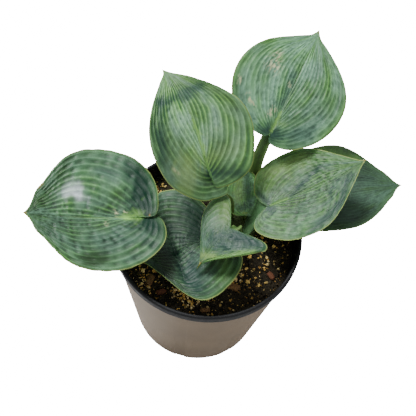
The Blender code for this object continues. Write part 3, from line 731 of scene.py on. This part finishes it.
def make_mix(finish):
    """The mix: a rough upper surface, closed just inside the pot's wall and floor."""
    rings, steps = 150, 420
    inner = WALL + MIX_GAP
    edge = wall_radius(MIX_TOP) - inner
    spread = np.linspace(0, edge, rings)
    angle = np.arange(steps) * 2 * np.pi / steps
    x, y = spread[:, None] * np.cos(angle), spread[:, None] * np.sin(angle)
    ease = np.clip((edge - spread) / 3, 0, 1)[:, None]
    top = mix_height(x, y) * ease + (MIX_TOP - 1.0) * (1 - ease)
    floor = FLOOR + MIX_GAP
    lower_z = np.array([MIX_TOP - 6.0, 90.0, 40.0, floor + 1.0, floor, floor])
    lower_r = wall_radius(lower_z) - inner
    lower_r[-2] -= 1.0
    lower_r[-1] = 0.0
    radius = np.concatenate([np.repeat(spread[:, None], steps, 1), np.repeat(lower_r[:, None], steps, 1)])
    height = np.concatenate([top, np.repeat(lower_z[:, None], steps, 1)])
    height[0] = height[0].mean()
    mesh, _ = turned_mesh("mix_surface", radius, height)
    return piece("mix_surface", mesh, [finish], "mix", "growing_mix")


def lump_shape(detail):
    """Corners and faces of a small ball to scatter."""
    ball = bmesh.new()
    bmesh.ops.create_icosphere(ball, subdivisions=detail, radius=1.0)
    points = np.array([vert.co for vert in ball.verts])
    faces = np.array([[vert.index for vert in face.verts] for face in ball.faces])
    ball.free()
    return points, faces


def turns(rng, count):
    """Random rotation matrices, from random unit quaternions."""
    q = rng.normal(size=(count, 4))
    w, x, y, z = (q / np.linalg.norm(q, axis=1, keepdims=True)).T
    return np.stack([
        np.stack([1 - 2 * (y * y + z * z), 2 * (x * y - z * w), 2 * (x * z + y * w)], -1),
        np.stack([2 * (x * y + z * w), 1 - 2 * (x * x + z * z), 2 * (y * z - x * w)], -1),
        np.stack([2 * (x * z - y * w), 2 * (y * z + x * w), 1 - 2 * (x * x + y * y)], -1)], 1)


def spun(degrees):
    """Rotation matrix for a turn about the Z axis."""
    angle = math.radians(degrees)
    return np.array([
        [math.cos(angle), -math.sin(angle), 0], [math.sin(angle), math.cos(angle), 0], [0, 0, 1]])


def scatter_mesh(name, rng, places, sizes, colours, detail, rough=0.22, flat=(1.0, 0.8, 0.65)):
    """Lumps at given places: each a ball with jogged corners, squashed, turned and coloured."""
    ball, faces = lump_shape(detail)
    count = len(places)
    jog = 1 + rough * rng.normal(size=(count, len(ball), 1)).clip(-1.5, 1.5)
    shape = ball[None] * jog * np.array(flat)
    shape = np.einsum("nij,nkj->nki", turns(rng, count), shape)
    shape[..., 2] *= 0.85
    points = places[:, None] + shape * (sizes / 2)[:, None, None]
    offsets = (np.arange(count) * len(ball))[:, None, None]
    triangles = (faces[None] + offsets).reshape(-1, 3)
    mesh, used = mesh_from_arrays(name, points.reshape(-1, 3), np.zeros((0, 4), int), triangles)
    paint(mesh, "tint", np.repeat(colours, len(ball), axis=0)[used])
    mesh.shade_flat()
    return mesh


def disc_places(rng, count, reach):
    """Random places on the mix within a reach of the pot's axis, away from the wall."""
    spread = reach * np.sqrt(rng.random(count))
    angle = rng.random(count) * 2 * np.pi
    x, y = spread * np.cos(angle), spread * np.sin(angle)
    return np.stack([x, y, mix_height(x, y)], -1)


# Chips of the frame: centre x, y, length, width, height, turn in degrees and colour; and its grains: centre
# x, y and size
CHIPS = [
    (-41.5, -47.5, 11, 5.5, 2.6, 75, "tan"), (29, -42, 13, 6.0, 3.0, -8, "tan"),
    (-31, -56, 8, 4.5, 2.4, 25, "red"), (-22, 66, 9, 5.0, 2.6, 40, "tan"),
    (60, -27, 8, 4.5, 2.4, -50, "red"), (8, -67, 8, 4.0, 2.2, 10, "tan"),
]
GRAINS = [
    (-49, -40, 4.2), (-40, -38.5, 3.4), (-48, -52, 3.8), (-20, -53, 3.4), (-4, -57.5, 4.4),
    (1, -60.5, 3.6), (30, -34.5, 4.0), (41, -35.5, 4.2), (38, -23.5, 3.8), (40, -12.5, 3.6),
    (60, 1.5, 4.0), (55, -10, 3.4), (56, -17, 3.6), (-55, 48, 4.0), (49, 9, 3.2),
]
# Where small golden grains have gathered: centre x, y, spread and number
CLUSTERS = [
    (-6, -62, 3.5, 34), (-14, -58, 4.5, 30), (-50, -46, 5.0, 34), (-41, -52, 3.5, 26), (29, -38, 4.5, 12),
    (36, -28, 4.5, 12), (53, -17, 4.5, 14), (-48, 31, 6.0, 40), (35, -10, 3.5, 18), (12, -56, 3.0, 12),
]
CREAM = np.array([srgb(226, 190, 104), srgb(200, 158, 78), srgb(228, 200, 128), srgb(164, 124, 62)])
GOLD = np.array([srgb(238, 196, 104), srgb(214, 166, 84), srgb(240, 214, 150)])
PEAT = np.array([srgb(34, 30, 22), srgb(48, 41, 28), srgb(28, 26, 18), srgb(66, 56, 36)])
BARK = {"red": np.array(srgb(104, 66, 46)), "tan": np.array(srgb(122, 92, 58))}


def make_grains(finish, peat_finish):
    """Pale mineral grains, large, small and gathered, and dark crumbs of peat, lying on the mix."""
    rng = np.random.default_rng(7)
    big = np.array(GRAINS)
    places = np.stack([big[:, 0], big[:, 1], mix_height(big[:, 0], big[:, 1]) + big[:, 2] * 0.22], -1)
    colours = CREAM[rng.integers(0, 3, len(big))] * rng.uniform(0.8, 1.1, (len(big), 1))
    mesh = scatter_mesh("large_grains", rng, places, big[:, 2], colours, 2)
    names = [f"grain_{index + 1:02d}" for index in range(len(GRAINS))]
    piece("large_grains", mesh, [finish], "perlite", *names)
    count = 1100
    places = disc_places(rng, count, 75)
    sizes = 0.8 + 2.4 * rng.random(count) ** 2.2
    places[:, 2] += sizes * 0.15
    colours = CREAM[rng.integers(0, 4, count)] * rng.uniform(0.35, 1.0, (count, 1))
    piece("small_grains", scatter_mesh("small_grains", rng, places, sizes, colours, 1), [finish], "perlite")
    gathered = np.random.default_rng(17)
    spots = np.concatenate([
        np.array([x, y]) + spread * gathered.normal(size=(number, 2)) for x, y, spread, number in CLUSTERS])
    spots = spots[np.linalg.norm(spots, axis=1) < 75]
    places = np.column_stack([spots, mix_height(spots[:, 0], spots[:, 1])])
    sizes = 1.0 + 2.0 * gathered.random(len(spots)) ** 1.5
    places[:, 2] += sizes * 0.3
    colours = GOLD[gathered.integers(0, 3, len(spots))] * gathered.uniform(0.6, 1.1, (len(spots), 1))
    mesh = scatter_mesh("gathered_grains", gathered, places, sizes, colours, 1)
    piece("gathered_grains", mesh, [finish], "perlite")
    count = 1500
    places = disc_places(rng, count, 76)
    sizes = 1.2 + 3.2 * rng.random(count) ** 2
    places[:, 2] += sizes * 0.05
    colours = PEAT[rng.integers(0, 4, count)] * rng.uniform(0.6, 1.3, (count, 1))
    mesh = scatter_mesh("peat_crumbs", rng, places, sizes, colours, 1, 0.3)
    piece("peat_crumbs", mesh, [peat_finish], "mix")


def make_bark(finish):
    """Chips of bark: long flattened lumps, pressed a little into the mix."""
    rng = np.random.default_rng(9)
    ball, faces = lump_shape(3)
    points, tints, triangles = [], [], []
    boxy = np.sign(ball) * np.abs(ball) ** 0.55
    for index, (x, y, length, width, height, turn, colour) in enumerate(CHIPS):
        jog = 1 + 0.10 * rng.normal(size=(len(ball), 1))
        shape = boxy * jog * np.array([length, width, height]) / 2
        shape = shape @ spun(turn).T
        points.append(shape + np.array([x, y, mix_height(np.array(x), np.array(y)) + height * 0.3]))
        tints.append(BARK[colour] * rng.uniform(0.7, 1.2, (len(ball), 1)))
        triangles.append(faces + index * len(ball))
    mesh, used = mesh_from_arrays(
        "bark_chips", np.concatenate(points), np.zeros((0, 4), int), np.concatenate(triangles))
    paint(mesh, "tint", np.concatenate(tints)[used])
    piece("bark_chips", mesh, [finish], "bark", *(f"bark_chip_{i + 1}" for i in range(len(CHIPS))))


def make_crown(name, node, x, y, radius, finish):
    """A crown of old stalk bases: half an ellipse turned round, lumpy on top, its edge waved by two sines."""
    steps, rows = 60, 18
    angle = np.arange(steps) * 2 * np.pi / steps
    share = np.linspace(0, 1, rows)[:, None] * np.ones((1, steps))
    bumps = 1 + 0.10 * np.sin(angle * 7 + 1) + 0.05 * np.sin(angle * 13)
    spread = radius * share * bumps
    height = MIX_TOP + 5.0 * np.sqrt(np.clip(1 - share ** 2, 0, 1)) - 0.6
    lumps = lattice_noise(share * 6, angle * 3 + 0 * share, 77) - 0.5
    height = height + 0.8 * lumps * np.sin(np.pi * share)
    spread = np.concatenate([spread, np.zeros((1, steps))])
    height = np.concatenate([height, np.full((1, steps), MIX_TOP - 2.5)])
    mesh, used = turned_mesh(name, spread, height)
    mesh.transform(Matrix.Translation((x * MM, y * MM, 0)))
    tint = CROWN_GREEN * (0.6 + 0.8 * np.random.default_rng(3).random((len(used), 1)))
    paint(mesh, "tint", tint)
    piece(name, mesh, [finish], "crown_tissue", node)


# Dry sheaths: foot x, y, turn in degrees and length
SHEATHS = [(38.5, 7.5, -60, 9), (33, 11, -30, 8), (14, 12, 200, 7), (40, 32, 40, 8), (25, 30, 100, 6)]


def make_sheaths(finish):
    """Dry papery sheaths curled round the foot of the stalks.

    Each is a strip that narrows upwards, curled across as part of an ellipse and arched by a quadratic.
    """
    rng = np.random.default_rng(21)
    points, quads, tints = [], [], []
    across, along = 14, 16
    for index, (x, y, turn, length) in enumerate(SHEATHS):
        s = np.linspace(-1, 1, across)[None, :] * np.ones((along, 1))
        t = np.linspace(0, 1, along)[:, None] * np.ones((1, across))
        bow = s * (1.3 - 0.5 * t)
        width = 3.4 * (1 - t ** 3 * 0.8)
        out = t * length * 0.55
        up = t * length * 0.8 - 0.12 * (t * length) ** 2 * 0.3
        local = np.stack([out + width * 0.7 * (1 - np.cos(bow)), width * np.sin(bow), up], -1)
        local = local + 0.3 * rng.normal(size=local.shape) * t[..., None]
        top = local @ spun(turn).T + np.array([x, y, MIX_TOP + 1.5])
        normal = np.cross(np.gradient(top, axis=1), np.gradient(top, axis=0))
        normal /= np.linalg.norm(normal, axis=-1, keepdims=True)
        bottom = top - 0.3 * normal
        number = np.arange(across * along).reshape(along, across) + index * across * along * 2
        under = number + across * along
        faces = [
            np.stack([side[:-1, :-1], side[:-1, 1:], side[1:, 1:], side[1:, :-1]], -1).reshape(-1, 4)
            for side in (number, under)]
        faces[1] = faces[1][:, ::-1]
        ring = np.concatenate([number[0], number[1:, -1], number[-1, -2::-1], number[-2:0:-1, 0]])
        low = ring + across * along
        faces.append(np.stack([np.roll(ring, -1), ring, low, np.roll(low, -1)], -1))
        quads.append(np.concatenate(faces))
        points += [top.reshape(-1, 3), bottom.reshape(-1, 3)]
        tints.append(DRY_SHEATH * rng.uniform(0.6, 1.1, (across * along * 2, 1)))
    mesh, used = mesh_from_arrays(
        "dry_sheaths", np.concatenate(points), np.concatenate(quads), np.zeros((0, 3), int))
    paint(mesh, "tint", np.concatenate(tints)[used])
    piece("dry_sheaths", mesh, [finish], "dry_sheath", "sheath_front")


# ---------------------------------------------------------------- materials

class Finish:
    """A node-based material, built up by short calls."""

    def __init__(self, name, roughness=0.6, specular=0.5):
        self.made = bpy.data.materials.new(name)
        self.made.use_nodes = True
        self.nodes = self.made.node_tree.nodes
        self.links = self.made.node_tree.links
        self.shader = self.nodes["Principled BSDF"]
        self.shader.inputs["Roughness"].default_value = roughness
        self.shader.inputs["Specular IOR Level"].default_value = specular
        self.where = self.nodes.new("ShaderNodeTexCoord").outputs["Object"]

    def noise(self, scale, detail=4.0, rough=0.6):
        """Noise in the object's own space; scale is in features per metre."""
        node = self.nodes.new("ShaderNodeTexNoise")
        node.inputs["Scale"].default_value = scale
        node.inputs["Detail"].default_value = detail
        node.inputs["Roughness"].default_value = rough
        self.links.new(self.where, node.inputs["Vector"])
        return node.outputs["Fac"]

    def spread(self, value, low, high):
        """Stretch a value from 0.3..0.7 to low..high."""
        node = self.nodes.new("ShaderNodeMapRange")
        node.inputs["From Min"].default_value = 0.3
        node.inputs["From Max"].default_value = 0.7
        node.inputs["To Min"].default_value = low
        node.inputs["To Max"].default_value = high
        self.links.new(value, node.inputs["Value"])
        return node.outputs["Result"]

    def tint(self):
        """The colour stored on the mesh."""
        node = self.nodes.new("ShaderNodeAttribute")
        node.attribute_name = "tint"
        return node.outputs["Color"]

    def shade(self, colour, value):
        """Multiply a colour by a value."""
        node = self.nodes.new("ShaderNodeVectorMath")
        node.operation = "SCALE"
        self.links.new(colour, node.inputs[0])
        self.links.new(value, node.inputs["Scale"])
        return node.outputs["Vector"]

    def blend(self, value, first, second):
        """Blend two colours, constant or linked, by a value."""
        node = self.nodes.new("ShaderNodeMix")
        node.data_type = "RGBA"
        self.links.new(value, node.inputs["Factor"])
        for socket, colour in ((node.inputs[6], first), (node.inputs[7], second)):
            if isinstance(colour, tuple):
                socket.default_value = (*colour, 1.0)
            else:
                self.links.new(colour, socket)
        return node.outputs[2]

    def finish(self, colour, bump=None, depth=0.0005, strength=1.0, roughness=None):
        """Join colour, roughness and relief to the shader and return the material."""
        self.links.new(colour, self.shader.inputs["Base Color"])
        if roughness is not None:
            self.links.new(roughness, self.shader.inputs["Roughness"])
        if bump is not None:
            node = self.nodes.new("ShaderNodeBump")
            node.inputs["Distance"].default_value = depth
            node.inputs["Strength"].default_value = strength
            self.links.new(bump, node.inputs["Height"])
            self.links.new(node.outputs["Normal"], self.shader.inputs["Normal"])
        return self.made


def leaf_finish():
    """Waxy leaf: stored colours with fine grain, a soft uneven shine and small pores."""
    leaf = Finish("waxy_leaf", 0.45, 0.33)
    colour = leaf.shade(leaf.tint(), leaf.spread(leaf.noise(900, 5), 0.86, 1.14))
    rough = leaf.spread(leaf.noise(160, 3), 0.40, 0.58)
    return leaf.finish(colour, leaf.noise(1400, 3), 0.00025, 0.5, rough)


def plain_tinted(name, roughness, grain, low, high, depth):
    """Stored colours broken up by noise, with relief of the same grain."""
    made = Finish(name, roughness, 0.35)
    noise = made.noise(grain, 5)
    return made.finish(made.shade(made.tint(), made.spread(noise, low, high)), noise, depth, 0.7)


def mix_finish():
    """Damp dark mix: near black with brown fibres."""
    mix = Finish("damp_mix", 0.85, 0.3)
    noise = mix.spread(mix.noise(420, 6, 0.7), 0.0, 1.0)
    colour = mix.blend(noise, srgb(24, 23, 17), srgb(62, 54, 38))
    return mix.finish(colour, mix.noise(1100, 6, 0.7), 0.0015, 1.0)


def pot_finishes():
    """Moulded plastic: a dusty taupe outer wall and a black lip and inside."""
    wall = Finish("dusty_wall", 0.6, 0.4)
    wall.shader.inputs["Coat Weight"].default_value = 0.35
    wall.shader.inputs["Coat Roughness"].default_value = 0.45
    wall.shader.inputs["Sheen Weight"].default_value = 0.3
    wall.shader.inputs["Sheen Roughness"].default_value = 0.4
    wall.shader.inputs["Sheen Tint"].default_value = (*srgb(242, 208, 166), 1.0)
    cloud = wall.spread(wall.noise(26, 5), 0.0, 1.0)
    colour = wall.blend(cloud, srgb(72, 57, 40), srgb(92, 75, 55))
    fine = wall.spread(wall.noise(700, 3), 0.93, 1.07)
    wall_made = wall.finish(wall.shade(colour, fine), wall.noise(900, 3), 0.0002, 0.3)
    black = Finish("black_plastic", 0.5, 0.35)
    dust = black.spread(black.noise(60, 5), 0.0, 1.0)
    colour = black.blend(dust, srgb(11, 12, 15), srgb(20, 22, 26))
    rough = black.spread(black.noise(120, 4), 0.45, 0.65)
    return wall_made, black.finish(colour, black.noise(900, 3), 0.0002, 0.3, rough)


# ---------------------------------------------------------------- stage

# Floor, world and lamps.  Where the camera looks straight at the floor or the world it sees a bright glow in
# place of the lit surface, so both read as plain white and the pot's shadow on the floor doesn't show.
FLOOR_REACH = 6.0              # metres from the middle to an edge
FLOOR_GLOW = (30.0, 0.8)       # strength, and its share of what is seen
WORLD_GLOW = 24.0
# Lamps: name, place in metres, size and power
LAMPS = [("key", (-0.55, 0.50, 1.2), 0.5, 24.0), ("fill", (0.9, -0.9, 1.2), 1.6, 5.0)]


def show_white(tree, plain, glow, share, output):
    """Show a glow in place of a plain shader, by a share, where the camera looks straight at it."""
    sight = tree.nodes.new("ShaderNodeLightPath")
    part = tree.nodes.new("ShaderNodeMath")
    part.operation = "MULTIPLY"
    part.inputs[1].default_value = share
    tree.links.new(sight.outputs["Is Camera Ray"], part.inputs[0])
    both = tree.nodes.new("ShaderNodeMixShader")
    tree.links.new(part.outputs[0], both.inputs[0])
    tree.links.new(plain.outputs[0], both.inputs[1])
    tree.links.new(glow.outputs[0], both.inputs[2])
    tree.links.new(both.outputs[0], tree.nodes[output].inputs["Surface"])


def make_floor():
    """A plain pale floor that is seen as white."""
    mesh = bpy.data.meshes.new("floor")
    corners = [(x * FLOOR_REACH, y * FLOOR_REACH, 0) for x, y in ((-1, -1), (1, -1), (1, 1), (-1, 1))]
    mesh.from_pydata(corners, [], [(0, 1, 2, 3)])
    floor = bpy.data.objects.new("floor", mesh)
    bpy.context.scene.collection.objects.link(floor)
    made = bpy.data.materials.new("pale_floor")
    made.use_nodes = True
    shader = made.node_tree.nodes["Principled BSDF"]
    shader.inputs["Base Color"].default_value = (0.9, 0.9, 0.89, 1)
    shader.inputs["Roughness"].default_value = 0.9
    shader.inputs["Specular IOR Level"].default_value = 0.0
    glow = made.node_tree.nodes.new("ShaderNodeEmission")
    glow.inputs["Strength"].default_value, share = FLOOR_GLOW
    show_white(made.node_tree, shader, glow, share, "Material Output")
    mesh.materials.append(made)


def make_world():
    """Soft light from all round, seen as white."""
    world = bpy.data.worlds.new("studio")
    bpy.context.scene.world = world
    world.use_nodes = True
    soft = world.node_tree.nodes["Background"]
    soft.inputs["Color"].default_value = (0.95, 0.98, 1.0, 1)
    soft.inputs["Strength"].default_value = 0.5
    white = world.node_tree.nodes.new("ShaderNodeBackground")
    white.inputs["Strength"].default_value = WORLD_GLOW
    show_white(world.node_tree, soft, white, 1.0, "World Output")


def make_lamps():
    """A key light from behind and to the left and a large weak fill from the front right."""
    for name, place, size, power in LAMPS:
        light = bpy.data.lights.new(name, "AREA")
        light.size = size
        light.energy = power
        lamp = bpy.data.objects.new(name, light)
        bpy.context.scene.collection.objects.link(lamp)
        lamp.location = place
        aim = Vector((0.0, 0.0, 0.15)) - Vector(place)
        lamp.rotation_euler = aim.to_track_quat("-Z", "Y").to_euler()


def make_camera():
    """A camera above the front, looking down on the pot and tilted a little."""
    elevation, tilt, distance = math.radians(58.7), math.radians(8.35), 594.0
    aside, above = 0.5, -17.8
    ahead = np.array([0, math.cos(elevation), -math.sin(elevation)])
    right = np.array([1.0, 0, 0])
    up = np.cross(right, ahead)
    right, up = (
        math.cos(tilt) * right + math.sin(tilt) * up, -math.sin(tilt) * right + math.cos(tilt) * up)
    target = np.array([0, 0, POT_HEIGHT])
    place = (target + aside * right - above * up - distance * ahead) * MM
    data = bpy.data.cameras.new("camera")
    data.lens = 59.9
    data.sensor_width = 36.0
    data.clip_start = 0.01
    camera = bpy.data.objects.new("camera", data)
    bpy.context.scene.collection.objects.link(camera)
    turn = Matrix((right, up, -ahead)).transposed().to_4x4()
    camera.matrix_world = Matrix.Translation(place) @ turn
    bpy.context.scene.camera = camera


# ---------------------------------------------------------------- build

make_floor()
make_world()
make_lamps()
make_camera()
WAXY = leaf_finish()
FRESH = plain_tinted("fresh_stalk", 0.42, 300, 0.85, 1.15, 0.0002)
for leaf_name in LEAVES:
    make_blade(leaf_name, WAXY)
    make_stalk(leaf_name, FRESH)
make_pot(*pot_finishes())
make_mix(mix_finish())
make_grains(
    plain_tinted("mineral_grain", 0.8, 1200, 0.8, 1.15, 0.0003),
    plain_tinted("peat", 0.85, 1500, 0.6, 1.4, 0.0006))
make_bark(plain_tinted("bark", 0.85, 700, 0.6, 1.35, 0.0008))
CROWN_SKIN = plain_tinted("crown_skin", 0.7, 500, 0.7, 1.3, 0.0006)
make_crown("stalk_crown", "crown_front", 27.0, 17.5, 17.5, CROWN_SKIN)
make_crown("stalk_crown_back", "crown_back", 33.5, 48.5, 8.5, CROWN_SKIN)
make_sheaths(plain_tinted("dry_sheath", 0.85, 600, 0.7, 1.25, 0.0003))
